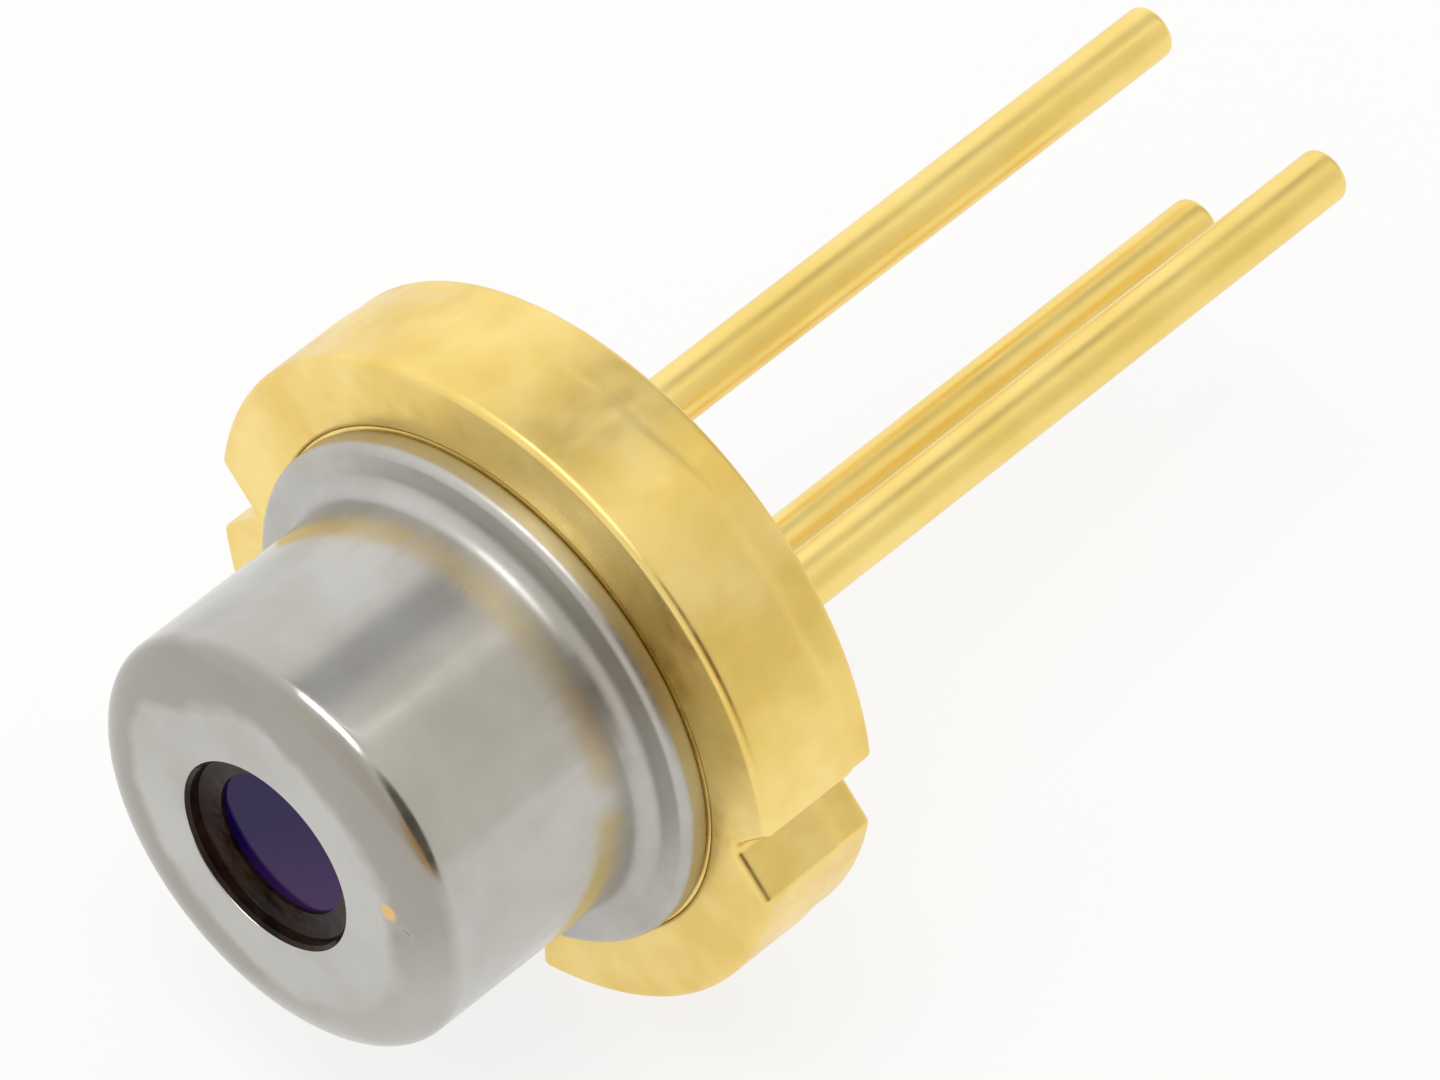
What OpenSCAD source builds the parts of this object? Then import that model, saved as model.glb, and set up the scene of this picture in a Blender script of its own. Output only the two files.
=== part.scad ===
// Laser diode in a 5.6 mm metal can: a plated steel stem on three wire leads, with a welded
// cap and window over a laser chip and its monitor photodiode. Units are millimetres.
//
// The part lies on the two corners of its stem slot. The origin is the centre of the stem's
// front face, on the optical axis. Light leaves along -Y, the leads run along +Y, +Z is up.

/* [Stem] */
// Diameter of the stem
stem_d = 5.6; // [5.2:0.05:6.2]
// Thickness of the stem
stem_t = 1.15; // [1:0.05:1.5]
// Radius of the stem's rounded edges
stem_edge = 0.06; // [0.02:0.01:0.12]
// Depth of the sharp corner of each side notch below the rim
notch_depth = 0.38; // [0.3:0.01:0.45]
// Angle between the two flanks of a side notch
notch_angle = 90; // [80:1:100]
// Radius at the bottom of a side notch
notch_round = 0.1; // [0.04:0.01:0.14]
// Width of the alignment slot
slot_w = 1; // [0.8:0.05:1.2]
// Depth of the alignment slot below the rim
slot_depth = 0.4; // [0.3:0.05:0.5]
// Radius of the slot's inner corners
slot_round = 0.08; // [0.02:0.01:0.15]
// Depth of the step coined in the front face to locate the cap
step_depth = 0.02; // [0.01:0.005:0.04]

/* [Leads] */
// Diameter of a lead
lead_d = 0.45; // [0.35:0.01:0.5]
// Diameter of the circle that the three leads stand on
lead_circle_d = 2; // [1.9:0.05:2.2]
// Length of the laser's lead behind the stem
laser_lead_l = 7.3; // [3:0.05:12]
// Length of the monitor's lead behind the stem
monitor_lead_l = 7.05; // [3:0.05:12]
// Length of the case lead behind the stem
case_lead_l = 6.75; // [3:0.05:12]
// Height of the laser's lead inside the cap
laser_post_h = 0.95; // [0.8:0.05:1.1]
// Height of the monitor's lead inside the cap
monitor_post_h = 0.6; // [0.4:0.05:0.9]
// Chamfer on the end of a lead
lead_chamfer = 0.04; // [0.01:0.01:0.08]
// Depth of the bonding flat pressed into the laser's lead
flat_depth = 0.06; // [0.03:0.01:0.1]
// Length of the bonding flat
flat_l = 0.4; // [0.3:0.05:0.6]
// Thickness of the plating, which feathers out along the glass
plating_t = 0.003; // [0.001:0.001:0.006]
// Width of the braze fillet at the foot of the case lead
braze_w = 0.14; // [0.08:0.01:0.2]
// Height of the braze fillet
braze_h = 0.11; // [0.06:0.01:0.16]

/* [Glass seals] */
// Diameter of the sealed hole round an insulated lead
seal_d = 0.9; // [0.7:0.02:0.96]
// Depth of the glass below each face of the stem
seal_recess = 0.08; // [0.07:0.01:0.15]
// Height that the glass climbs at the lead and at the hole
seal_meniscus = 0.05; // [0.02:0.01:0.06]

/* [Cap] */
// Height of the cap above the stem's front face
cap_h = 2.4; // [2.2:0.05:2.8]
// Outer diameter of the cap's barrel
cap_d = 3.56; // [3.4:0.02:3.7]
// Thickness of the cap's drawn sheet
cap_wall = 0.15; // [0.1:0.01:0.18]
// Diameter of the cap's flange
flange_d = 4.36; // [4.2:0.02:4.6]
// Thickness of the cap's flange
flange_t = 0.22; // [0.18:0.01:0.3]
// Radius of the flange's top edge
flange_edge = 0.08; // [0.03:0.01:0.1]
// Radius of the flange's bottom edge
flange_foot = 0.03; // [0.01:0.005:0.05]
// Radius of the fillet between flange and barrel
cap_fillet = 0.16; // [0.08:0.01:0.2]
// Radius of the bend inside the flange
cap_bend = 0.1; // [0.05:0.01:0.15]
// Breadth of the curve from the cap's face to its barrel
nose_w = 0.45; // [0.35:0.01:0.5]
// Height of the curve from the cap's face to its barrel
nose_h = 0.26; // [0.22:0.01:0.35]
// Diameter of the light opening in the cap
aperture_d = 1.64; // [1.4:0.02:1.8]
// Radius of the light opening's outer edge
aperture_edge = 0.02; // [0.01:0.005:0.04]
// Inner diameter of the weld ring under the flange
weld_inner_d = 3.7; // [3.6:0.02:3.8]
// Radial width of the weld ring
weld_w = 0.12; // [0.06:0.01:0.18]

/* [Window] */
// Diameter of the window glass
window_d = 2.5; // [2.2:0.05:2.6]
// Thickness of the window glass
window_t = 0.25; // [0.15:0.01:0.35]
// Thickness of the sealing glass between cap and window
frit_t = 0.06; // [0.03:0.01:0.1]
// Diameter of the clear window inside the sealing glass
frit_clear_d = 1.22; // [1:0.02:1.3]
// Thickness of the sealing glass on the wall of the light opening
frit_lining = 0.025; // [0.01:0.005:0.04]

/* [Laser] */
// Distance of the emitting point from the stem's front face
emission_h = 1.27; // [1.2:0.01:1.35]
// Width of the laser chip
chip_w = 0.3; // [0.2:0.01:0.32]
// Length of the laser chip
chip_l = 0.3; // [0.25:0.01:0.5]
// Thickness of the laser chip
chip_t = 0.1; // [0.07:0.01:0.15]
// Depth of the emitting layer above the chip's mounted side
junction_depth = 0.01; // [0.004:0.002:0.02]
// Thickness of the solder under the chip and under the submount
solder_t = 0.012; // [0.008:0.002:0.02]
// Thickness of an electrode film
film_t = 0.008; // [0.006:0.001:0.012]
// Margin of a film inside the edge of what carries it
film_margin = 0.02; // [0.01:0.005:0.03]
// Width of the submount
submount_w = 0.7; // [0.66:0.01:0.74]
// Length of the submount
submount_l = 0.75; // [0.6:0.01:0.85]
// Thickness of the submount
submount_t = 0.2; // [0.15:0.01:0.25]
// Distance that the submount's edge stands back from the emitting facet
submount_setback = 0.005; // [0:0.005:0.01]

/* [Heat sink] */
// Width of the heat sink's mounting face
sink_face_w = 1.1; // [1:0.02:1.2]
// Full width of the heat sink
sink_w = 1.6; // [1.4:0.02:1.8]
// Depth over which the heat sink widens
sink_flare = 0.42; // [0.35:0.01:0.5]
// Gap between the heat sink's round back and the cap
sink_gap = 0.12; // [0.08:0.01:0.2]
// Distance that the heat sink's top stands back from the submount's edge
sink_setback = 0.02; // [0.01:0.005:0.05]

/* [Monitor photodiode] */
// Width of the square photodiode chip
diode_w = 0.5; // [0.4:0.01:0.52]
// Thickness of the photodiode chip
diode_t = 0.2; // [0.15:0.01:0.25]
// Tilt of the photodiode away from the stem's face
diode_tilt = 10; // [5:1:12]
// Thickness of the conductive epoxy under the photodiode
epoxy_t = 0.02; // [0.01:0.005:0.03]
// Width of the electrode frame on the photodiode
frame_w = 0.06; // [0.04:0.005:0.07]
// Width of the bonding pad in the corner of that frame
bond_pad_w = 0.13; // [0.1:0.01:0.14]
// Gap between the photodiode and the walls of its pocket
pocket_gap = 0.1; // [0.06:0.01:0.12]
// Depth of the pocket at its shallow end
pocket_lip = 0.03; // [0.02:0.01:0.06]
// Gap between the pocket and the heat sink
pocket_setback = 0.1; // [0.05:0.01:0.15]

/* [Bond wires] */
// Diameter of a gold bond wire
wire_d = 0.03; // [0.02:0.002:0.036]
// Diameter of the ball or foot at the end of a bond wire
ball_d = 0.07; // [0.05:0.005:0.08]
// Height of that ball or foot
ball_h = 0.02; // [0.012:0.002:0.03]
// Height of a bond wire's loop
loop_h = 0.28; // [0.2:0.01:0.32]

/* [Hidden] */
$fn = 96;
// What a cutting shape runs past the surface that it cuts
over = 0.1;
// Steps in an edge radius, in the nose of the cap and along a bond wire
edge_steps = 6;
nose_steps = 12;
wire_steps = 14;
wire_sides = 8;

stem_r = stem_d / 2;
lead_r = lead_d / 2;
seal_r = seal_d / 2;
circle_r = lead_circle_d / 2;
cap_r = cap_d / 2;
bore_r = cap_r - cap_wall;
flange_r = flange_d / 2;
aperture_r = aperture_d / 2;
// the inner floor lies at the bottom of the coined step, one plating line inside the flange's seat
floor_z = -step_depth;
step_r = flange_r + 0.015;

// Places of the leads, looking from the front: the laser's on the left, the case lead below
laser_lead_at = [-circle_r, 0];
monitor_lead_at = [circle_r, 0];
case_lead_at = [0, -circle_r];

// Stack on the heat sink, counted from the optical axis
chip_mount_y = junction_depth;
chip_top_y = chip_mount_y - chip_t;
pad_y = chip_mount_y + solder_t;
submount_y = pad_y + film_t;
solder_y = submount_y + submount_t;
sink_y = solder_y + solder_t;
submount_top_z = emission_h - submount_setback;
sink_top_z = submount_top_z - sink_setback;
sink_back_r = bore_r - sink_gap;
// the die pad reaches past the chip on one side, to leave room for the wire to the heat sink
pad_left_x = -chip_w / 2 - film_margin;
pad_right_x = submount_w / 2 - film_margin;

// Window stack under the cap's face
face_in_z = cap_h - cap_wall;
window_top_z = face_in_z - frit_t;
frit_clear_r = frit_clear_d / 2;

// Pocket of the photodiode, a wedge that deepens towards the heat sink
pocket_w = diode_w + 2 * pocket_gap;
pocket_far_y = sink_y - pocket_setback;
pocket_near_y = pocket_far_y - pocket_w;
pocket_mid_y = (pocket_near_y + pocket_far_y) / 2;
pocket_mid_z = floor_z - pocket_lip - pocket_w / 2 * tan(diode_tilt);
// Corner of the photodiode that carries its bonding pad, counted from the chip's centre
bond_pad_at = [diode_w / 2 - film_margin - bond_pad_w / 2, -(diode_w / 2 - film_margin - bond_pad_w / 2)];

// ---- Shared shapes ----

// Points on an arc, from angle a0 to a1
function arc(cx, cy, r, a0, a1, n) =
    [for (i = [0:n]) let (a = a0 + (a1 - a0) * i / n) [cx + r * cos(a), cy + r * sin(a)]];

// Points on a quarter of an ellipse, from its top (90 degrees) to its side (0 degrees)
function quarter(cx, cy, rx, ry, n) =
    [for (i = [0:n]) let (a = 90 - 90 * i / n) [cx + rx * cos(a), cy + ry * sin(a)]];

// Turns the package's own frame, with light along +Z, so that the light leaves along -Y
module along_axis() {
    rotate([90, 0, 0]) children();
}

// ---- Stem ----

// Half section of the plain disc, with its rim edges rounded
module disc_section() {
    polygon(concat(
        [[0, -stem_t]],
        arc(stem_r - stem_edge, -stem_t + stem_edge, stem_edge, -90, 0, edge_steps),
        arc(stem_r - stem_edge, -stem_edge, stem_edge, 0, 90, edge_steps),
        [[0, 0]]));
}

// Outline of a side notch that opens along +X: two flanks that meet in a round
module notch_outline() {
    half = notch_angle / 2;
    tip_x = stem_r - notch_depth;
    mouth_x = stem_r + over;
    mouth_y = (mouth_x - tip_x) * tan(half);
    polygon(concat(
        [[mouth_x, mouth_y]],
        arc(tip_x + notch_round / sin(half), 0, notch_round, 90 + half, 270 - half, edge_steps),
        [[mouth_x, -mouth_y]]));
}

// Outline of the alignment slot, which opens downwards
module slot_outline() {
    floor_y = -(stem_r - slot_depth);
    side = slot_w / 2 - slot_round;
    polygon(concat(
        [[slot_w / 2, -(stem_r + over)]],
        arc(side, floor_y - slot_round, slot_round, 0, 90, edge_steps),
        arc(-side, floor_y - slot_round, slot_round, 90, 180, edge_steps),
        [[-slot_w / 2, -(stem_r + over)]]));
}

// Cuts an outline right through the stem
module through_stem() {
    translate([0, 0, -stem_t - over]) linear_extrude(stem_t + 2 * over) children();
}

// Wedge that is cut for the photodiode, drawn in its side view and extruded across the stem
module pocket_wedge() {
    deep = pocket_lip + pocket_w * tan(diode_tilt);
    translate([-pocket_w / 2, 0, floor_z]) rotate([90, 0, 90]) linear_extrude(pocket_w)
        polygon([[pocket_near_y, over], [pocket_near_y, -pocket_lip],
            [pocket_far_y, -deep], [pocket_far_y, over]]);
}

module stem_base() {
    color([0.83, 0.68, 0.33]) along_axis() difference() {
        rotate_extrude() disc_section();
        for (side = [0, 180]) rotate(side) through_stem() notch_outline();
        through_stem() slot_outline();
        translate([0, 0, floor_z]) cylinder(h = step_depth + over, r = step_r);
        for (at = [laser_lead_at, monitor_lead_at])
            translate(at) through_stem() circle(seal_r);
        pocket_wedge();
    }
}

// ---- Heat sink ----

// The copper post: a flat mounting face, flared flanks clear of the seals, and a round back
module heat_sink() {
    color([0.80, 0.58, 0.32]) along_axis()
        translate([0, 0, floor_z]) linear_extrude(sink_top_z - floor_z) intersection() {
            circle(sink_back_r);
            polygon([[-sink_face_w / 2, sink_y], [sink_face_w / 2, sink_y],
                [sink_w / 2, sink_y + sink_flare], [sink_w / 2, sink_back_r + over],
                [-sink_w / 2, sink_back_r + over], [-sink_w / 2, sink_y + sink_flare]]);
        }
}

// ---- Leads and their seals ----

// Radius of an insulated lead at height z: the plating thins to nothing half way along the glass
function lead_r_at(z) =
    let (middle = -stem_t / 2, reach = stem_t / 2)
    lead_r - plating_t * max(0, 1 - abs(z - middle) / reach);

// Half section of an insulated lead, from its rear tip to its top inside the cap
module insulated_lead_section(rear, top) {
    polygon([[0, rear], [lead_r - lead_chamfer, rear], [lead_r, rear + lead_chamfer],
        [lead_r, -stem_t], [lead_r_at(-stem_t / 2), -stem_t / 2], [lead_r, 0],
        [lead_r, top - lead_chamfer], [lead_r - lead_chamfer, top], [0, top]]);
}

module laser_lead() {
    flat_y = -(lead_r - flat_depth);
    color([0.86, 0.72, 0.38]) along_axis() translate(laser_lead_at) difference() {
        rotate_extrude() insulated_lead_section(-stem_t - laser_lead_l, laser_post_h);
        translate([-lead_r - over, flat_y - lead_r - over, laser_post_h - flat_l])
            cube([lead_d + 2 * over, lead_r + over, flat_l + over]);
    }
}

module monitor_lead() {
    color([0.86, 0.72, 0.38]) along_axis() translate(monitor_lead_at)
        rotate_extrude() insulated_lead_section(-stem_t - monitor_lead_l, monitor_post_h);
}

module case_lead() {
    rear = -stem_t - case_lead_l;
    color([0.86, 0.72, 0.38]) along_axis() translate(case_lead_at) rotate_extrude()
        polygon([[0, rear], [lead_r - lead_chamfer, rear], [lead_r, rear + lead_chamfer],
            [lead_r, -stem_t], [0, -stem_t]]);
}

// Concave fillet of braze round the foot of the case lead
module case_lead_braze() {
    color([0.78, 0.66, 0.40]) along_axis() translate([case_lead_at[0], case_lead_at[1], -stem_t])
        rotate_extrude() polygon(concat(
            [[lead_r, 0]],
            [for (i = [0:edge_steps]) let (a = 90 * i / edge_steps)
                [lead_r + braze_w * (1 - sin(a)), -braze_h * (1 - cos(a))]]));
}

// Height of the glass surface across the ring between lead and hole: low in the middle
function seal_sag(t) = seal_meniscus * pow(2 * t - 1, 2);

// Half section of a glass seal: it follows the lead's plating line and dishes at both faces
module seal_section() {
    steps = 8;
    top_in = -seal_recess + seal_sag(0);
    rear_in = -stem_t + seal_recess - seal_sag(0);
    inner_top = lead_r_at(top_in);
    inner_rear = lead_r_at(rear_in);
    polygon(concat(
        [[lead_r_at(-stem_t / 2), -stem_t / 2]],
        [for (i = [0:steps]) let (t = i / steps)
            [inner_rear + (seal_r - inner_rear) * t, -stem_t + seal_recess - seal_sag(t)]],
        [for (i = [0:steps]) let (t = 1 - i / steps)
            [inner_top + (seal_r - inner_top) * t, -seal_recess + seal_sag(t)]]));
}

module lead_seal(at) {
    color([0.20, 0.25, 0.24]) along_axis() translate(at) rotate_extrude() seal_section();
}

module laser_lead_seal() {
    lead_seal(laser_lead_at);
}

module monitor_lead_seal() {
    lead_seal(monitor_lead_at);
}

// ---- Cap and window ----

// Half section of the drawn cap: flange, fillet, barrel, curved nose and the edge of the opening
module cap_section() {
    polygon(concat(
        arc(flange_r - flange_foot, flange_foot, flange_foot, -90, 0, edge_steps),
        arc(flange_r - flange_edge, flange_t - flange_edge, flange_edge, 0, 90, edge_steps),
        arc(cap_r + cap_fillet, flange_t + cap_fillet, cap_fillet, 270, 180, edge_steps),
        [for (i = [nose_steps:-1:0]) quarter(cap_r - nose_w, cap_h - nose_h, nose_w, nose_h, nose_steps)[i]],
        arc(aperture_r + aperture_edge, cap_h - aperture_edge, aperture_edge, 90, 180, edge_steps),
        [[aperture_r, face_in_z]],
        quarter(cap_r - nose_w, cap_h - nose_h, nose_w - cap_wall, nose_h - cap_wall, nose_steps),
        arc(bore_r + cap_bend, cap_bend, cap_bend, 180, 270, edge_steps)));
}

module cap_shell() {
    color([0.74, 0.73, 0.71]) along_axis() rotate_extrude() cap_section();
}

// Ring of metal that the projection weld leaves between flange and stem
module weld_ring() {
    color([0.66, 0.56, 0.36]) along_axis() translate([0, 0, floor_z]) difference() {
        cylinder(h = step_depth, r = weld_inner_d / 2 + weld_w);
        translate([0, 0, -over]) cylinder(h = step_depth + 2 * over, r = weld_inner_d / 2);
    }
}

// Sealing glass: a ring between cap and window, with a fillet that runs up the opening's wall
module window_frit() {
    lip_r = aperture_r - frit_lining;
    lip_z = cap_h - aperture_edge;
    foot_h = frit_t / 2;
    color([0.20, 0.14, 0.11]) along_axis() rotate_extrude() polygon(concat(
        [[frit_clear_r, window_top_z], [window_d / 2, window_top_z], [window_d / 2, face_in_z],
            [aperture_r, face_in_z], [aperture_r, lip_z], [lip_r, lip_z - frit_lining]],
        [for (i = [0:edge_steps]) let (a = 90 * i / edge_steps)
            [lip_r - (lip_r - frit_clear_r) * (1 - cos(a)),
                window_top_z + foot_h + frit_t * (1 - sin(a))]]));
}

module window_glass() {
    color([0.16, 0.10, 0.45]) along_axis()
        translate([0, 0, window_top_z - window_t]) cylinder(h = window_t, r = window_d / 2);
}

// ---- Laser chip on its submount ----

// A block that faces the heat sink: x0 to x1 across, y0 to y1 deep, and z0 to z1 along the axis
module block(x0, x1, y0, y1, z0, z1) {
    along_axis() translate([x0, y0, z0]) cube([x1 - x0, y1 - y0, z1 - z0]);
}

module submount() {
    color([0.82, 0.80, 0.74]) block(-submount_w / 2, submount_w / 2, submount_y, solder_y,
        submount_top_z - submount_l, submount_top_z);
}

module submount_solder() {
    color([0.72, 0.70, 0.62]) block(-submount_w / 2, submount_w / 2, solder_y, sink_y,
        submount_top_z - submount_l, sink_top_z);
}

module die_pad() {
    color([0.88, 0.72, 0.35]) block(pad_left_x, pad_right_x, pad_y, submount_y,
        submount_top_z - submount_l + film_margin, submount_top_z - film_margin);
}

module chip_solder() {
    color([0.72, 0.70, 0.62]) block(-chip_w / 2, chip_w / 2, chip_mount_y, pad_y,
        emission_h - chip_l, submount_top_z - film_margin);
}

module laser_chip() {
    color([0.34, 0.34, 0.38]) block(-chip_w / 2, chip_w / 2, chip_top_y, chip_mount_y,
        emission_h - chip_l, emission_h);
}

module chip_electrode() {
    color([0.88, 0.72, 0.35]) block(-chip_w / 2 + film_margin, chip_w / 2 - film_margin,
        chip_top_y - film_t, chip_top_y, emission_h - chip_l + film_margin, emission_h - film_margin);
}

// ---- Monitor photodiode ----

// Lays a shape on the tilted floor of the pocket, lifted by a height
module on_pocket_floor(lift) {
    along_axis() translate([0, pocket_mid_y, pocket_mid_z]) rotate([-diode_tilt, 0, 0])
        translate([0, 0, lift]) children();
}

// The same place as points, for the wire that ends there
function on_pocket(p) = [p[0],
    pocket_mid_y + p[1] * cos(diode_tilt) + p[2] * sin(diode_tilt),
    pocket_mid_z - p[1] * sin(diode_tilt) + p[2] * cos(diode_tilt)];

module photodiode_epoxy() {
    color([0.55, 0.55, 0.53]) on_pocket_floor(0) linear_extrude(epoxy_t) square(diode_w, center = true);
}

module photodiode() {
    color([0.12, 0.14, 0.24]) on_pocket_floor(epoxy_t)
        linear_extrude(diode_t) square(diode_w, center = true);
}

// Metal frame round the light-sensitive field, with a bonding pad in one corner
module photodiode_electrode() {
    outer = diode_w - 2 * film_margin;
    color([0.85, 0.80, 0.70]) on_pocket_floor(epoxy_t + diode_t) linear_extrude(film_t) union() {
        difference() {
            square(outer, center = true);
            square(outer - 2 * frame_w, center = true);
        }
        translate(bond_pad_at) square(bond_pad_w, center = true);
    }
}

// ---- Bond wires ----

function unit(v) = v / norm(v);

// Point on a wire's curve, which leaves both ends square to the surface
function loop_point(a, na, b, nb, t) =
    let (s = 1 - t)
    pow(s, 3) * a + 3 * s * s * t * (a + na * loop_h) + 3 * s * t * t * (b + nb * loop_h) + pow(t, 3) * b;

function loop_way(a, na, b, nb, t) =
    let (s = 1 - t, c = a + na * loop_h, d = b + nb * loop_h)
    unit(3 * s * s * (c - a) + 6 * s * t * (d - c) + 3 * t * t * (b - d));

// A round wire swept from surface point a to surface point b, where na and nb point outwards
module wire_sweep(a, na, b, nb) {
    across = unit(cross(b - a, na + nb));
    rings = [for (i = [0:wire_steps]) let (
        t = i / wire_steps,
        p = loop_point(a, na, b, nb, t),
        way = loop_way(a, na, b, nb, t),
        u = unit(across - way * (across * way)),
        v = cross(way, u))
        [for (k = [0:wire_sides - 1]) let (q = 360 * k / wire_sides)
            p + wire_d / 2 * (cos(q) * u + sin(q) * v)]];
    points = [for (ring = rings) each ring];
    m = wire_sides;
    sides = [for (i = [0:wire_steps - 1], k = [0:m - 1]) let (
        p0 = i * m + k, p1 = i * m + (k + 1) % m, p2 = p1 + m, p3 = p0 + m)
        each [[p0, p2, p1], [p0, p3, p2]]];
    first = [for (k = [0:m - 1]) k];
    last = [for (k = [m - 1:-1:0]) wire_steps * m + k];
    polyhedron(points, concat([first], sides, [last]));
}

// Turns +Z to the direction n
module facing(n) {
    rotate([0, acos(n[2]), atan2(n[1], n[0])]) children();
}

// A bond wire: a ball where it starts, a foot where it ends, and the loop between them
module bond_wire(a, na, b, nb) {
    color([0.93, 0.78, 0.40]) along_axis() union() {
        translate(a) facing(na) cylinder(h = ball_h, d = ball_d);
        translate(b) facing(nb) cylinder(h = ball_h, d = ball_d);
        wire_sweep(a + na * ball_h / 2, na, b + nb * ball_h / 2, nb);
    }
}

// From the top of the laser chip to the flat on the laser's lead
module laser_wire() {
    front = [0, -1, 0];
    bond_wire([0, chip_top_y - film_t, emission_h - chip_l / 2], front,
        [laser_lead_at[0], -(lead_r - flat_depth), laser_post_h - flat_l / 2], front);
}

// From the die pad beside the chip to the face of the heat sink
module ground_wire() {
    front = [0, -1, 0];
    wire_z = emission_h - submount_l / 2;
    bond_wire([(chip_w / 2 + pad_right_x) / 2, pad_y, wire_z], front,
        [(submount_w / 2 + sink_face_w / 2) / 2, sink_y, wire_z], front);
}

// From the bonding pad of the photodiode to the top of the monitor's lead
module monitor_wire() {
    up = [0, sin(diode_tilt), cos(diode_tilt)];
    bond_wire(on_pocket([bond_pad_at[0], bond_pad_at[1], epoxy_t + diode_t + film_t]), up,
        [monitor_lead_at[0], monitor_lead_at[1], monitor_post_h], [0, 0, 1]);
}

stem_base();
heat_sink();
laser_lead_seal();
monitor_lead_seal();
laser_lead();
monitor_lead();
case_lead();
case_lead_braze();
weld_ring();
cap_shell();
window_frit();
window_glass();
submount();
submount_solder();
die_pad();
chip_solder();
laser_chip();
chip_electrode();
photodiode();
photodiode_epoxy();
photodiode_electrode();
laser_wire();
ground_wire();
monitor_wire();
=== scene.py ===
import math

import bmesh
import bpy
from mathutils import Matrix, Vector
from mathutils.geometry import tessellate_polygon


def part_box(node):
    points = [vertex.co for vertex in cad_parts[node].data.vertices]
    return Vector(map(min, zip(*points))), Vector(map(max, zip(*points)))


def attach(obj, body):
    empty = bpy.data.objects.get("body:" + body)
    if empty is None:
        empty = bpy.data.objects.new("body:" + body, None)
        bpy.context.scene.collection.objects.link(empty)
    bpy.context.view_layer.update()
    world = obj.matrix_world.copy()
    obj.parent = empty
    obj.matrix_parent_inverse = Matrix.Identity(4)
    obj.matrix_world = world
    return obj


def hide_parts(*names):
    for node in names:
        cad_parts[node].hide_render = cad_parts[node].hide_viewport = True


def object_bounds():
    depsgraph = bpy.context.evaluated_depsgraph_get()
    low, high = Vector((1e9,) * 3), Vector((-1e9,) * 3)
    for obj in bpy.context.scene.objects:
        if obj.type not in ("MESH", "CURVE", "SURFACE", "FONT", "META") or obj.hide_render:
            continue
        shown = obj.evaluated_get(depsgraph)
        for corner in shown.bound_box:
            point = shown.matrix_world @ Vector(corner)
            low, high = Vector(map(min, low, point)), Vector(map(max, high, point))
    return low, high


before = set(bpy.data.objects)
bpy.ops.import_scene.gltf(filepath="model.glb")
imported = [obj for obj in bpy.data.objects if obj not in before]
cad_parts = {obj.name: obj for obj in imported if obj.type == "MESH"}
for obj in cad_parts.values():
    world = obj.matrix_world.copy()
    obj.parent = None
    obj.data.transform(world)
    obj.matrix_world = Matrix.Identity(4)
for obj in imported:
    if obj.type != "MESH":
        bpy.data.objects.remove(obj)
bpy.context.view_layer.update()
mm = 0.001


# ---- Stem ----
# The base that carries everything: a disc stamped from steel, with two V notches and a slot in its rim
# to index it, a coined step that locates the cap, and a nickel and gold plating all over. The punch
# leaves a smooth shear band on the rim and, towards the back, a slightly smaller band where the metal broke.

stem_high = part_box("stem_base")[1]
stem_r = stem_high.z
stem_back = stem_high.y
stem_edge = 0.06 * mm
notch_depth = 0.38 * mm
notch_round = 0.10 * mm
mouth_corner = 0.07 * mm
slot_half = 0.5 * mm
slot_depth = 0.4 * mm
slot_round = 0.08 * mm
rim_step_degrees = 1.2
break_depth = 0.016 * mm
break_line = 0.70
break_blend = 0.05
step_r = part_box("cap_shell")[1].x + 0.015 * mm
step_depth = 0.02 * mm
step_lip = 0.045 * mm
land_gap = 0.003 * mm
seal_r = 0.45 * mm
lead_circle_r = 1.0 * mm
pocket_half = 0.35 * mm
pocket_lip = 0.03 * mm
pocket_tilt = 10
laser_side, monitor_side, case_side = (-lead_circle_r, 0), (lead_circle_r, 0), (0, -lead_circle_r)


def new_mesh(name, bm, smooth_below=32):
    """Turns a bmesh into an object whose shading is smooth across all but its sharp corners."""
    bmesh.ops.remove_doubles(bm, verts=bm.verts, dist=1e-9)
    bmesh.ops.recalc_face_normals(bm, faces=bm.faces)
    mesh = bpy.data.meshes.new(name)
    bm.to_mesh(mesh)
    bm.free()
    mesh.polygons.foreach_set("use_smooth", [True] * len(mesh.polygons))
    mesh.set_sharp_from_angle(angle=math.radians(smooth_below))
    made = bpy.data.objects.new(name, mesh)
    bpy.context.scene.collection.objects.link(made)
    return made


def fit(piece, node, material):
    """Puts a finished piece in the place of its CAD node."""
    piece.data.materials.append(material)
    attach(piece, "root")
    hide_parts(node)


def dress(node, material):
    """Gives a CAD node its own finish."""
    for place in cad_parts[node].material_slots:
        place.material = material


def arc(cx, cy, r, start, end, steps):
    """Points on an arc, from angle start to angle end in degrees."""
    angles = [math.radians(start + (end - start) * i / steps) for i in range(steps + 1)]
    return [(cx + r * math.cos(a), cy + r * math.sin(a)) for a in angles]


def ring(bm, points, y):
    """A closed ring of vertices at depth y."""
    return [bm.verts.new((x, y, z)) for x, z in points]


def skin(bm, a, b):
    """Quads between two rings that have as many points."""
    for i in range(len(a)):
        bm.faces.new((a[i - 1], a[i], b[i], b[i - 1]))


def flat(bm, *rings):
    """A flat face that the first ring bounds and the others pierce."""
    corners = [vertex for points in rings for vertex in points]
    for triangle in tessellate_polygon([[vertex.co / mm for vertex in points] for points in rings]):
        bm.faces.new([corners[i] for i in triangle])


def circle(r, centre=(0, 0), count=96):
    """Points round a circle, seen along the can's axis."""
    return [(centre[0] + x, centre[1] + z) for x, z in arc(0, 0, r, 0, 360, count)[:-1]]


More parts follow.
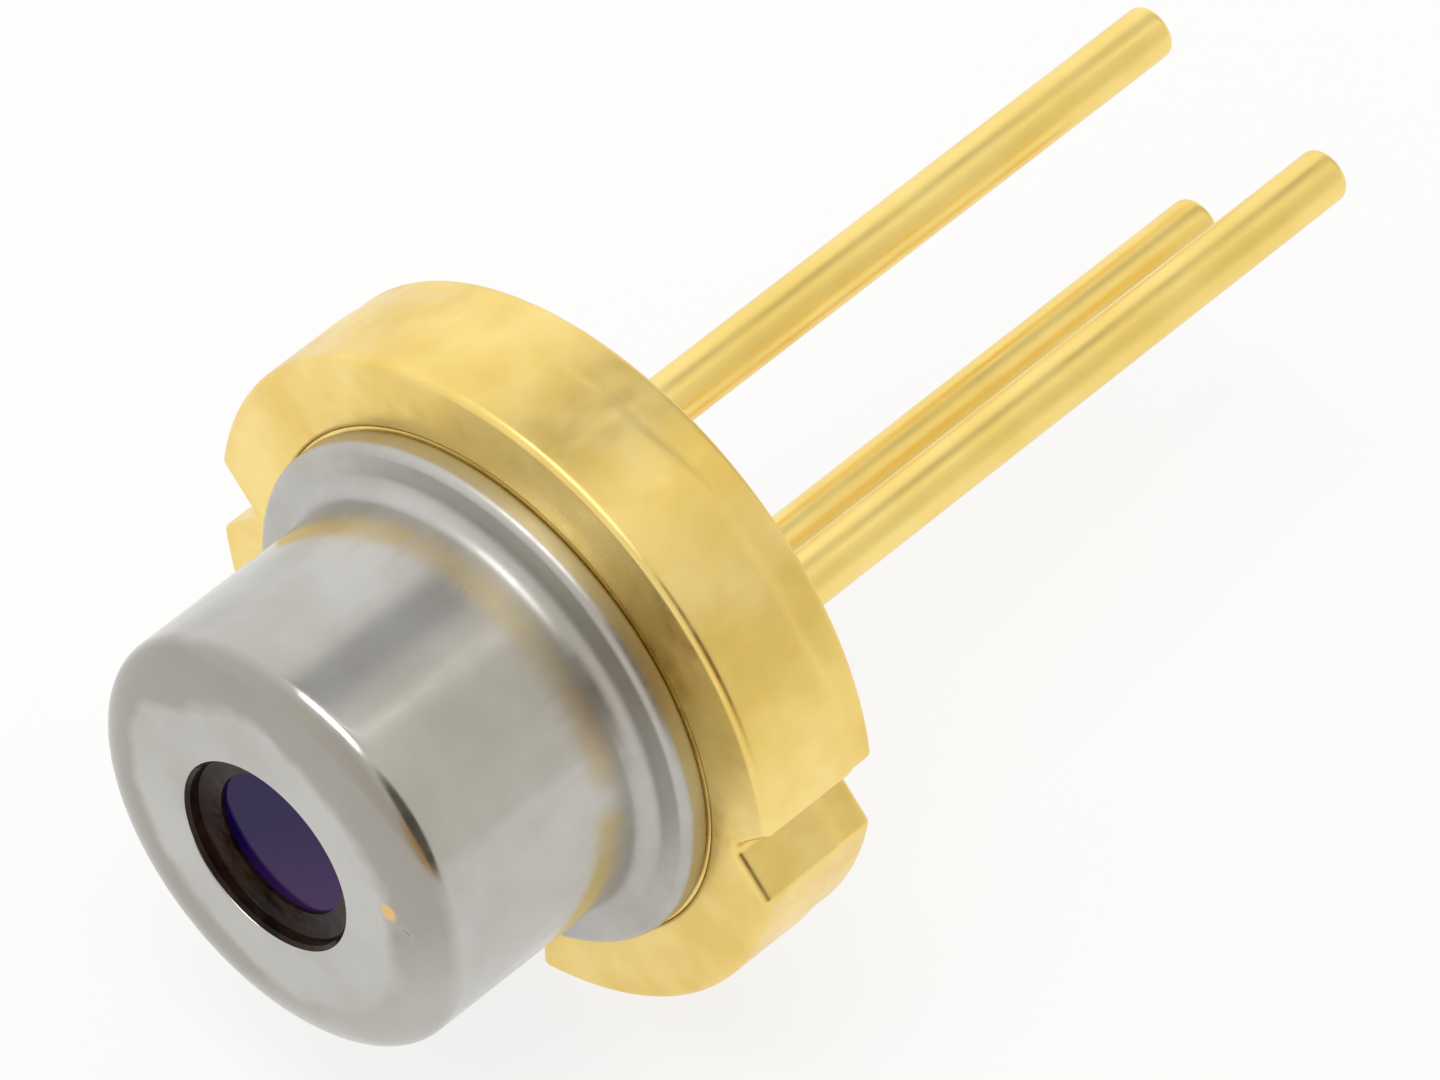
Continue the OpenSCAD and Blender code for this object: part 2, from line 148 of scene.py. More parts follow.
def notch_arcs(turn):
    """The arcs round one V notch: corner, bottom and corner. Each is centre, radius, angles and side."""
    tip = stem_r - notch_depth
    root2 = math.sqrt(2)
    k = mouth_corner * root2 - tip
    reach = stem_r - mouth_corner
    cx = (-k + math.sqrt(2 * reach * reach - k * k)) / 2
    cz = cx + k
    lean = math.degrees(math.atan2(cz, cx))
    arcs = [(cx, -cz, mouth_corner, -lean, 45, 1),
            (tip + notch_round * root2, 0, notch_round, 225, 135, -1),
            (cx, cz, mouth_corner, -45, lean, 1)]
    c, s = math.cos(math.radians(turn)), math.sin(math.radians(turn))
    return [(x * c - z * s, x * s + z * c, r, a0 + turn, a1 + turn, side) for x, z, r, a0, a1, side in arcs]


def slot_arcs():
    """The arcs round the slot, which opens downwards."""
    bottom_z = -(stem_r - slot_depth)
    cx = slot_half + mouth_corner
    cz = -math.sqrt((stem_r - mouth_corner) ** 2 - cx * cx)
    lean = math.degrees(math.atan2(cz, cx)) + 360
    inner = slot_half - slot_round
    return [(-cx, cz, mouth_corner, 540 - lean, 360, 1),
            (-inner, bottom_z - slot_round, slot_round, 180, 90, -1),
            (inner, bottom_z - slot_round, slot_round, 90, 0, -1),
            (cx, cz, mouth_corner, 180, lean, 1)]


def stem_arcs():
    """All arcs of the rim, counter-clockwise from the slot: features, and the rim between them."""
    features = [slot_arcs(), notch_arcs(0), notch_arcs(180)]
    arcs = []
    for i, feature in enumerate(features):
        arcs += feature
        here = feature[-1][4] % 360
        there = features[(i + 1) % 3][0][3] % 360
        arcs.append((0, 0, stem_r, here, there + (360 if there < here else 0), 1))
    return arcs


def break_offset(angle, depth):
    """How far the broken band stands back, at an angle round the rim and a share of its thickness."""
    wander = 0.045 * math.sin(3.1 * angle + 0.6) + 0.03 * math.sin(7.3 * angle)
    wander += 0.014 * math.sin(19 * angle)
    t = min(1, max(0, (depth - break_line - wander) / break_blend))
    return break_depth * t * t * (3 - 2 * t)


def stem_ring(bm, inset, y):
    """One ring of the stem's side, set in by the edge rounding and by the broken band."""
    points = []
    for cx, cz, r, start, end, side in stem_arcs():
        steps = max(6, round(abs(end - start) / rim_step_degrees))
        for i in range(steps + 1):
            a = math.radians(start + (end - start) * i / steps)
            x, z = cx + r * math.cos(a), cz + r * math.sin(a)
            back = inset + break_offset(math.atan2(z, x), y / stem_back)
            points.append((cx + (r - side * back) * math.cos(a), cz + (r - side * back) * math.sin(a)))
    return ring(bm, points, y)


def make_stem():
    """The stem: its rim from front to back, its stepped front face, its holes and its pocket."""
    bm = bmesh.new()
    edge_steps, side_steps = 6, 28
    margin = 0.005 * mm
    rings = [stem_ring(bm, stem_edge + margin, 0)]
    for inset, y in arc(stem_edge, stem_edge, stem_edge, 270, 180, edge_steps):
        rings.append(stem_ring(bm, inset, y))
    for i in range(1, side_steps):
        rings.append(stem_ring(bm, 0, stem_edge + (stem_back - 2 * stem_edge) * i / side_steps))
    for inset, y in arc(stem_edge, stem_back - stem_edge, stem_edge, 180, 90, edge_steps):
        rings.append(stem_ring(bm, inset, y))
    rings.append(stem_ring(bm, stem_edge + margin, stem_back))
    for a, b in zip(rings, rings[1:]):
        skin(bm, a, b)
    lip_steps = 6
    lip = []
    for i in range(lip_steps + 1):
        a = math.radians(90 * i / lip_steps)
        lip_r = step_r + step_lip * (1 - math.sin(a))
        lip.append(ring(bm, circle(lip_r, count=256), step_depth * (1 - math.cos(a))))
    land_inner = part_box("weld_ring")[1].x + 0.01 * mm
    lip.append(ring(bm, circle(step_r - step_lip, count=256), land_gap))
    lip.append(ring(bm, circle(land_inner, count=256), land_gap))
    lip.append(ring(bm, circle(land_inner, count=256), step_depth))
    for a, b in zip(lip, lip[1:]):
        skin(bm, a, b)
    flat(bm, rings[0], lip[0])
    floor_holes, back_holes = [], []
    bore_lip = 0.02 * mm
    for centre in (laser_side, monitor_side):
        front = ring(bm, circle(seal_r, centre), step_depth)
        rear = ring(bm, circle(seal_r, centre), stem_back - bore_lip)
        mouth = ring(bm, circle(seal_r + bore_lip, centre), stem_back)
        skin(bm, front, rear)
        skin(bm, rear, mouth)
        floor_holes.append(front)
        back_holes.append(mouth)
    low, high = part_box("photodiode_epoxy")
    middle_z = (low.z + high.z) / 2
    slope = math.tan(math.radians(pocket_tilt))
    low_z, high_z = middle_z - pocket_half, middle_z + pocket_half
    mouth = [(-pocket_half, low_z), (pocket_half, low_z), (pocket_half, high_z), (-pocket_half, high_z)]
    mouth_ring = ring(bm, mouth, step_depth)
    bottom = [bm.verts.new((x, step_depth + pocket_lip + (z - low_z) * slope, z)) for x, z in mouth]
    skin(bm, mouth_ring, bottom)
    bm.faces.new(bottom)
    flat(bm, lip[-1], mouth_ring, *floor_holes)
    flat(bm, rings[-1], *back_holes)
    return new_mesh("stem", bm)


def add(tree, kind, **values):
    """A new shader node. Lower-case names set its options, the others set or link its inputs."""
    node = tree.nodes.new("ShaderNode" + kind)
    for key, value in values.items():
        if key.islower():
            setattr(node, key, value)
            continue
        socket = node.inputs[key.replace("_", " ")]
        if isinstance(value, bpy.types.NodeSocket):
            tree.links.new(value, socket)
        else:
            socket.default_value = value
    return node


def calc(tree, operation, a, b=0.0):
    """The result of a sum on sockets or numbers."""
    node = add(tree, "Math", operation=operation)
    for socket, value in zip(node.inputs, (a, b)):
        if isinstance(value, bpy.types.NodeSocket):
            tree.links.new(value, socket)
        else:
            socket.default_value = value
    return node.outputs[0]


def blend(tree, share, a, b):
    """Colour a where share is 0, colour b where it is 1."""
    return add(tree, "MixRGB", Fac=share, Color1=a, Color2=b).outputs[0]


def span(tree, value, low, high, out_low, out_high):
    """A value between low and high, stretched to another range and held at its ends."""
    return add(tree, "MapRange", Value=value, From_Min=low, From_Max=high,
               To_Min=out_low, To_Max=out_high).outputs[0]


def mottle(tree, size, detail=3.0, stretch=(1, 1, 1), seed=0.0):
    """Cloudy noise whose blobs are about size metres across, on the piece's own coordinates."""
    place = add(tree, "TexCoord").outputs["Object"]
    moved = add(tree, "Mapping", Vector=place, Scale=stretch, Location=(seed * mm, seed * mm, 0))
    return add(tree, "TexNoise", Vector=moved.outputs[0], Scale=0.5 / size, Detail=detail).outputs["Fac"]


def new_material(name, **fixed):
    """A material with its tree and shader. The fixed values go straight on the shader's sockets."""
    material = bpy.data.materials.new(name)
    material.use_nodes = True
    tree = material.node_tree
    shader = tree.nodes["Principled BSDF"]
    for key, value in fixed.items():
        shader.inputs[key.replace("_", " ")].default_value = value
    return material, tree, shader


def plated_metal(name, colour, worn, rough, grain, depth, stretch=(1, 1, 1)):
    """Bright plating over a stamped or drawn surface: cloudy tone, uneven gloss and a fine pressed grain."""
    material, tree, shader = new_material(name, Metallic=1.0)
    clouds = mottle(tree, 0.45 * mm, 3.0)
    grains = mottle(tree, grain, 1.0, stretch, seed=3.0)
    swell = mottle(tree, 0.40 * mm, 1.0, seed=7.0)
    tone = blend(tree, span(tree, clouds, 0.38, 0.64, 0, 1), worn, colour)
    tree.links.new(tone, shader.inputs["Base Color"])
    tree.links.new(span(tree, grains, 0.3, 0.7, *rough), shader.inputs["Roughness"])
    height = calc(tree, "ADD", calc(tree, "MULTIPLY", grains, 0.2), swell)
    bump = add(tree, "Bump", Height=height, Distance=depth, Strength=1.0)
    tree.links.new(bump.outputs[0], shader.inputs["Normal"])
    return material


stem_gold = plated_metal("stem_gold", (0.96, 0.74, 0.28, 1), (0.85, 0.61, 0.17, 1), (0.26, 0.40),
                         0.08 * mm, 0.005 * mm, (1, 0.5, 1))
fit(make_stem(), "stem_base", stem_gold)


# ---- Lead seals ----
# A bead of dark sealing glass is fused round each insulated lead inside its hole in the stem. Molten glass
# climbs both walls, so its face is dished, with a glossy fire-polished skin and a few tiny bubbles.

lead_r = 0.225 * mm
glass_recess = 0.08 * mm
glass_climb = 0.05 * mm


def turned(name, profile, centre=(0, 0), around=160):
    """The solid that a closed profile of (radius, y) points sweeps round the lead or the can's axis."""
    bm = bmesh.new()
    rings = []
    for r, y in profile:
        if r < 1e-9:
            rings.append([bm.verts.new((centre[0], y, centre[1]))])
        else:
            rings.append(ring(bm, circle(r, centre, around), y))
    for a, b in zip(rings, rings[1:] + rings[:1]):
        if len(a) > 1 and len(b) > 1:
            skin(bm, a, b)
        elif len(a) + len(b) > 2:
            tip, rim = (a[0], b) if len(a) == 1 else (b[0], a)
            for i in range(len(rim)):
                bm.faces.new((rim[i - 1], rim[i], tip))
    return new_mesh(name, bm)


def dished(face_y, outwards):
    """The dished glass face: low in the middle, climbing to the lead and to the hole."""
    steps = 16
    points = []
    for i in range(steps + 1):
        t = i / steps
        sag = glass_recess - glass_climb * (2 * t - 1) ** 2
        points.append((lead_r + (seal_r - lead_r) * t, face_y - outwards * sag))
    return points


seal_material, tree, shader = new_material("sealing_glass", IOR=1.52, Coat_Weight=0.6, Coat_Roughness=0.04)
glass_clouds = span(tree, mottle(tree, 0.06 * mm), 0.35, 0.65, 0, 1)
glass_tone = blend(tree, glass_clouds, (0.018, 0.030, 0.028, 1), (0.05, 0.07, 0.062, 1))
tree.links.new(glass_tone, shader.inputs["Base Color"])
tree.links.new(span(tree, mottle(tree, 0.03 * mm), 0.3, 0.7, 0.08, 0.24), shader.inputs["Roughness"])
bubbles = add(tree, "TexVoronoi", Vector=add(tree, "TexCoord").outputs["Object"], Scale=1 / (0.05 * mm))
pits = span(tree, bubbles.outputs["Distance"], 0.05, 0.22, 0, 1)
pitted = add(tree, "Bump", Height=pits, Distance=0.004 * mm, Strength=0.5)
tree.links.new(pitted.outputs[0], shader.inputs["Normal"])

for node, centre in (("laser_lead_seal", laser_side), ("monitor_lead_seal", monitor_side)):
    profile = dished(stem_back, 1) + dished(0, -1)[::-1]
    fit(turned(node + "_glass", profile, centre), node, seal_material)


# ---- Leads ----
# Three round wires of iron-nickel sealing alloy, cut to length and plated with the stem. The laser's and the
# monitor's pass through their glass into the can; the case lead is brazed to the back of the stem.

tip_round = 0.07 * mm
front_round = 0.04 * mm
lead_gold = plated_metal("lead_gold", (0.97, 0.75, 0.26, 1), (0.92, 0.68, 0.20, 1), (0.26, 0.40),
                         0.05 * mm, 0.003 * mm, (1, 0.12, 1))


def wire_lead(name, node, centre, front_y):
    """A lead with softly rounded ends, from front_y to the solid lead's own rear end."""
    rear_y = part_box(node)[1].y
    profile = [(0, front_y)] + arc(lead_r - front_round, front_y + front_round, front_round, 270, 360, 6)
    body_steps = 40
    start, end = front_y + front_round, rear_y - tip_round
    profile += [(lead_r, start + (end - start) * i / body_steps) for i in range(1, body_steps)]
    profile += arc(lead_r - tip_round, end, tip_round, 0, 90, 8) + [(0, rear_y)]
    return turned(name, profile, centre, 96)


for node, centre in (("laser_lead", laser_side), ("monitor_lead", monitor_side), ("case_lead", case_side)):
    front_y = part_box(node)[0].y
    fit(wire_lead(node + "_wire", node, centre, front_y), node, lead_gold)

braze_w, braze_h = 0.14 * mm, 0.11 * mm
braze_profile = [(lead_r, stem_back)]
braze_steps = 12
for i in range(braze_steps + 1):
    a = math.radians(90 * i / braze_steps)
    braze_profile.append((lead_r + braze_w * (1 - math.sin(a)), stem_back + braze_h * (1 - math.cos(a))))
braze_gold = plated_metal("braze_gold", (0.90, 0.68, 0.30, 1), (0.74, 0.52, 0.22, 1), (0.30, 0.48),
                          0.04 * mm, 0.006 * mm)
fit(turned("case_lead_fillet", braze_profile, case_side, 96), "case_lead_braze", braze_gold)


# ---- Cap ----
# A cup drawn from thin steel sheet, with a nickel plating. The drawing leaves a soft curve round its face
# and a flange that is welded to the stem by a ring of projection. The round hole lets the light out.

cap_low, cap_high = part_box("cap_shell")
cap_face = cap_low.y
flange_r = cap_high.x
cap_r = 1.78 * mm
sheet = 0.15 * mm
flange_t = 0.22 * mm
flange_edge = 0.08 * mm
flange_foot = 0.03 * mm
flange_fillet = 0.16 * mm
inner_bend = 0.1 * mm
nose_w, nose_h = 0.45 * mm, 0.26 * mm
hole_r = 0.82 * mm
hole_edge = 0.02 * mm
# Where and how wide a small gold spot beside the dent is painted, a painted reflection.
gold_glint_place = (1.26 * mm, cap_face, 0.36 * mm)
gold_glint_r, gold_glint_fade = 0.085 * mm, 0.035 * mm
dent_place = (1.40 * mm, cap_face + 0.005 * mm, 0.19 * mm)
dent_r, dent_depth = 0.12 * mm, 0.03 * mm


def quarter(cx, cy, rx, ry, steps):
    """Points on a quarter of an ellipse, from its side to its top. Y grows away from the light."""
    return [(cx + rx * math.sin(a), cy - ry * math.cos(a))
            for a in (math.radians(90 - 90 * i / steps) for i in range(steps + 1))]


def cap_profile():
    """The drawn sheet in section, from the flange's foot over the outside and back along the inside."""
    points = arc(flange_r - flange_foot, -flange_foot, flange_foot, 90, 0, 6)
    points += arc(flange_r - flange_edge, flange_edge - flange_t, flange_edge, 0, -90, 10)
    points += arc(cap_r + flange_fillet, -flange_t - flange_fillet, flange_fillet, 90, 180, 12)
    barrel_top = cap_face + nose_h
    barrel_low = -flange_t - flange_fillet
    barrel_steps = 30
    points += [(cap_r, barrel_low + (barrel_top - barrel_low) * i / barrel_steps)
               for i in range(1, barrel_steps)]
    points += quarter(cap_r - nose_w, barrel_top, nose_w, nose_h, 24)
    face_steps = 8
    face_end = hole_r + hole_edge
    bend_r = cap_r - nose_w
    points += [(bend_r + (face_end - bend_r) * i / face_steps, cap_face) for i in range(1, face_steps)]
    points += arc(face_end, cap_face + hole_edge, hole_edge, -90, -180, 6)
    points.append((hole_r, cap_face + sheet))
    points += quarter(cap_r - nose_w, barrel_top, nose_w - sheet, nose_h - sheet, 12)[::-1]
    points += arc(cap_r - sheet + inner_bend, -inner_bend, inner_bend, 180, 90, 8)
    return points


def cap_finish():
    """Nickel, rougher towards the flange, with painted shade in a darker band round the inner edge of the
    nose and a small painted gold reflection beside the dent.
    """
    material, tree, shader = new_material("cap_nickel", Metallic=1.0)
    place = add(tree, "TexCoord").outputs["Object"]
    at = add(tree, "SeparateXYZ", Vector=place)
    radius = calc(tree, "SQRT", calc(tree, "ADD", calc(tree, "MULTIPLY", at.outputs["X"], at.outputs["X"]),
                                     calc(tree, "MULTIPLY", at.outputs["Z"], at.outputs["Z"])))
    wander = mottle(tree, 0.6 * mm, 3.0, seed=11.0)
    wavy = calc(tree, "ADD", radius, calc(tree, "MULTIPLY", calc(tree, "SUBTRACT", wander, 0.5), 0.9 * mm))
    bend_r = cap_r - nose_w
    # Painted shade: a darker band round the inner edge of the nose, weaker towards the side at +X and -Z.
    painted_nose_shade = calc(tree, "MULTIPLY", span(tree, wavy, bend_r - 0.10 * mm, bend_r + 0.02 * mm, 0, 1),
                     span(tree, at.outputs["Y"], cap_face + 0.14 * mm, cap_face + 0.24 * mm, 1, 0))
    lower = calc(tree, "SUBTRACT", at.outputs["X"], at.outputs["Z"])
    painted_nose_shade = calc(tree, "MULTIPLY", painted_nose_shade, span(tree, lower, 1.2 * mm, 2.0 * mm, 0.75, 0.2))
    clouds = mottle(tree, 0.45 * mm, 4.0)
    tone = blend(tree, span(tree, clouds, 0.38, 0.64, 0, 1), (0.47, 0.455, 0.42, 1), (0.53, 0.52, 0.49, 1))
    # The painted shade darkens the nickel in that band.
    tone = blend(tree, painted_nose_shade, tone, (0.33, 0.305, 0.265, 1))
    # Painted reflection: a small gold spot beside the dent, fading at its rim.
    gold_glint = add(tree, "VectorMath", operation="DISTANCE")
    tree.links.new(place, gold_glint.inputs[0])
    gold_glint.inputs[1].default_value = gold_glint_place
    off = calc(tree, "ADD", gold_glint.outputs["Value"],
               calc(tree, "MULTIPLY", mottle(tree, 0.05 * mm, 2.0), 0.06 * mm))
    glint_share = span(tree, off, gold_glint_r, gold_glint_r + gold_glint_fade, 1, 0)
    tree.links.new(blend(tree, glint_share, tone, (0.75, 0.50, 0.20, 1)), shader.inputs["Base Color"])
    brushed = mottle(tree, 0.06 * mm, 3.0, (1, 0.15, 1), seed=3.0)
    gloss = span(tree, brushed, 0.3, 0.7, 0.14, 0.24)
    dull = calc(tree, "MULTIPLY", span(tree, at.outputs["Y"], -0.75 * mm, -0.35 * mm, 0, 1), 0.22)
    tree.links.new(calc(tree, "ADD", gloss, dull), shader.inputs["Roughness"])
    height = calc(tree, "ADD", calc(tree, "MULTIPLY", brushed, 0.3), mottle(tree, 0.4 * mm, 2.0, seed=7.0))
    bump = add(tree, "Bump", Height=height, Distance=0.001 * mm, Strength=1.0)
    tree.links.new(bump.outputs[0], shader.inputs["Normal"])
    return material


cap_nickel = cap_finish()
cap = turned("cap", cap_profile(), around=384)
for vertex in cap.data.vertices:
    away = (vertex.co - Vector(dent_place)).length / dent_r
    if away < 1:
        vertex.co.y += dent_depth * (1 - away * away) ** 2
fit(cap, "cap_shell", cap_nickel)

weld_metal = plated_metal("weld_metal", (0.45, 0.38, 0.26, 1), (0.30, 0.25, 0.18, 1), (0.4, 0.6),
                          0.04 * mm, 0.004 * mm)
dress("weld_ring", weld_metal)


# ---- Window ----
# A disc of polished glass with a violet antireflection coating, fused behind the hole with a ring of
# dark brown sealing glass. The sealing glass wets the wall of the hole and hides the disc's edge.

clear_r = 0.61 * mm
lining = 0.025 * mm
window_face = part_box("window_glass")[0].y
frit_t = 0.06 * mm
window_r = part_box("window_frit")[1].x


def frit_profile():
    """The sealing glass in section: behind the sheet, up the wall of the hole and down to the disc."""
    lip_r, lip_y = hole_r - lining, cap_face + hole_edge
    points = [(window_r, window_face), (window_r, cap_face + sheet), (hole_r, cap_face + sheet),
              (hole_r, lip_y), (lip_r, lip_y + lining)]
    foot = frit_t / 2
    steps = 16
    for i in range(steps + 1):
        a = math.radians(90 * i / steps)
        points.append((lip_r - (lip_r - clear_r) * (1 - math.cos(a)),
                       window_face - foot - frit_t * (1 - math.sin(a))))
    points.append((clear_r, window_face))
    return points


frit_material, tree, shader = new_material("sealing_frit", IOR=1.5, Specular_IOR_Level=0.16)
frit_clouds = span(tree, mottle(tree, 0.12 * mm), 0.35, 0.65, 0, 1)
frit_tone = blend(tree, frit_clouds, (0.006, 0.003, 0.002, 1), (0.032, 0.014, 0.008, 1))
tree.links.new(frit_tone, shader.inputs["Base Color"])
tree.links.new(span(tree, mottle(tree, 0.05 * mm), 0.3, 0.7, 0.12, 0.32), shader.inputs["Roughness"])
frit_flow = add(tree, "Bump", Height=mottle(tree, 0.08 * mm, 2.0), Distance=0.01 * mm, Strength=0.6)
tree.links.new(frit_flow.outputs[0], shader.inputs["Normal"])
fit(turned("window_seal", frit_profile(), around=192), "window_frit", frit_material)

window_material, tree, shader = new_material("coated_glass", IOR=1.5, Transmission_Weight=0.25,
                                             Specular_IOR_Level=0.07, Specular_Tint=(0.55, 0.2, 1, 1))
# The coating's indigo is painted lighter and more purple towards +X and -Z, a painted reflection.
spot = add(tree, "SeparateXYZ", Vector=add(tree, "TexCoord").outputs["Object"])
painted_sheen_share = span(tree, calc(tree, "SUBTRACT", spot.outputs["X"], spot.outputs["Z"]), -0.2 * mm, 0.9 * mm, 0, 1)
coat_tint_and_sheen = blend(tree, painted_sheen_share, (0.008, 0.001, 0.065, 1), (0.05, 0.014, 0.10, 1))
tree.links.new(coat_tint_and_sheen, shader.inputs["Base Color"])
tree.links.new(span(tree, mottle(tree, 0.1 * mm), 0.3, 0.7, 0.02, 0.07), shader.inputs["Roughness"])
dress("window_glass", window_material)


# ---- Heat sink and laser ----
# A copper post on the stem holds the laser chip at the height of the window. The chip sits on a ceramic
# block, with solder under both and gold films for its contacts.

sink_gold = plated_metal("sink_gold", (0.93, 0.70, 0.32, 1), (0.84, 0.56, 0.24, 1), (0.2, 0.4),
                         0.05 * mm, 0.004 * mm)
dress("heat_sink", sink_gold)


def plain_finish(name, colour, other, rough, metallic, size):
    """A finish for a small inner piece: two close tones in clouds, uneven gloss and a fine grain."""
    material, tree, shader = new_material(name, Metallic=metallic)
    clouds = mottle(tree, size, 4.0)
    tree.links.new(blend(tree, clouds, colour, other), shader.inputs["Base Color"])
    tree.links.new(span(tree, clouds, 0.3, 0.7, *rough), shader.inputs["Roughness"])
    bump = add(tree, "Bump", Height=clouds, Distance=size / 20, Strength=0.5)
    tree.links.new(bump.outputs[0], shader.inputs["Normal"])
    return material


dress("submount", plain_finish("ceramic", (0.72, 0.71, 0.66, 1), (0.82, 0.81, 0.77, 1),
                               (0.5, 0.7), 0.0, 0.02 * mm))
solder_finish = plain_finish("gold_tin_solder", (0.62, 0.56, 0.42, 1), (0.48, 0.42, 0.30, 1),
                             (0.3, 0.5), 1.0, 0.03 * mm)
for node in ("submount_solder", "chip_solder"):
    dress(node, solder_finish)
film_gold = plain_finish("gold_film", (0.92, 0.70, 0.30, 1), (0.85, 0.62, 0.25, 1),
                         (0.15, 0.3), 1.0, 0.04 * mm)
for node in ("die_pad", "chip_electrode"):
    dress(node, film_gold)
dress("laser_chip", plain_finish("laser_crystal", (0.10, 0.10, 0.12, 1), (0.16, 0.15, 0.18, 1),
                                 (0.08, 0.2), 0.6, 0.05 * mm))


# ---- Monitor photodiode ----
# A silicon chip glued with silver epoxy in a tilted pocket of the stem, so that what its face reflects
# misses the laser. An aluminium frame round its blue field carries the bond wire.

dress("photodiode", plain_finish("silicon", (0.015, 0.03, 0.10, 1), (0.03, 0.05, 0.16, 1),
                                 (0.05, 0.15), 0.3, 0.08 * mm))
dress("photodiode_epoxy", plain_finish("silver_epoxy", (0.45, 0.45, 0.43, 1), (0.6, 0.6, 0.58, 1),
                                       (0.4, 0.6), 0.8, 0.02 * mm))
dress("photodiode_electrode", plain_finish("aluminium_film", (0.8, 0.8, 0.8, 1), (0.7, 0.7, 0.72, 1),
                                           (0.2, 0.35), 1.0, 0.03 * mm))


# ---- Bond wires ----
# Three hair-thin gold wires, ball-bonded at one end and stitched at the other, join the chips to the leads
# and to the heat sink.

wire_gold = plain_finish("bond_wire_gold", (0.95, 0.73, 0.32, 1), (0.88, 0.64, 0.26, 1),
                         (0.15, 0.3), 1.0, 0.02 * mm)
for node in ("laser_wire", "ground_wire", "monitor_wire"):
    dress(node, wire_gold)


# ---- Floor, light and camera ----
# A pale tabletop under a bright, soft studio sky that is dimmer on the right, with a grey band behind and a
# brown and a dark patch on the right. A long narrow strip light hangs behind the object and a broad soft
# light above it.

floor_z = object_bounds()[0].z
floor_size = 4.0
light_distance = 0.6


def shown_to(tree):
    """1 for the rays that show the backdrop: those of the camera, of reflections and of glass."""
    path = add(tree, "LightPath").outputs
    return calc(tree, "MAXIMUM", path["Is Camera Ray"],
                calc(tree, "MAXIMUM", path["Is Glossy Ray"], path["Is Transmission Ray"]))


bm = bmesh.new()
bmesh.ops.create_grid(bm, x_segments=8, y_segments=8, size=floor_size / 2)
table = new_mesh("tabletop", bm)
table.location = (0, 0, floor_z)
table_material, tree, shader = new_material("pale_table", Roughness=0.9)
table_tone = blend(tree, mottle(tree, 40 * mm), (0.86, 0.86, 0.86, 1), (0.90, 0.90, 0.90, 1))
tree.links.new(table_tone, shader.inputs["Base Color"])
glow = add(tree, "Emission", Color=(1, 1, 1, 1), Strength=1.0)
glow_share = 0.8
both = add(tree, "MixShader", Fac=calc(tree, "MULTIPLY", shown_to(tree), glow_share))
tree.links.new(shader.outputs[0], both.inputs[1])
tree.links.new(glow.outputs[0], both.inputs[2])
tree.links.new(both.outputs[0], tree.nodes["Material Output"].inputs["Surface"])
table.data.materials.append(table_material)

world = bpy.data.worlds.new("studio")
bpy.context.scene.world = world
world.use_nodes = True
tree = world.node_tree
background = tree.nodes["Background"]
direction = add(tree, "TexCoord").outputs["Generated"]
sides = add(tree, "SeparateXYZ", Vector=direction)


def patch(towards, inner, outer):
    """1 in a round patch of sky, falling to 0 between two angles from its middle."""
    facing = add(tree, "VectorMath", operation="DOT_PRODUCT")
    tree.links.new(direction, facing.inputs[0])
    facing.inputs[1].default_value = Vector(towards).normalized()
    return add(tree, "MapRange", interpolation_type="SMOOTHSTEP", Value=facing.outputs["Value"],
               From_Min=math.cos(math.radians(outer)), From_Max=math.cos(math.radians(inner))).outputs[0]


def gap_between_panels(lean, inner, outer):
    """1 in a dark band of sky that runs from overhead down to the back, leaning from +X by an angle."""
    facing = add(tree, "VectorMath", operation="DOT_PRODUCT")
    tree.links.new(direction, facing.inputs[0])
    facing.inputs[1].default_value = (-math.sin(math.radians(lean)), 0, math.cos(math.radians(lean)))
    off = calc(tree, "ABSOLUTE", facing.outputs["Value"])
    band = add(tree, "MapRange", interpolation_type="SMOOTHSTEP", Value=off,
               From_Min=math.sin(math.radians(outer)), From_Max=math.sin(math.radians(inner))).outputs[0]
    return calc(tree, "MULTIPLY", band, span(tree, sides.outputs["Y"], -0.1, 0.2, 0, 1))


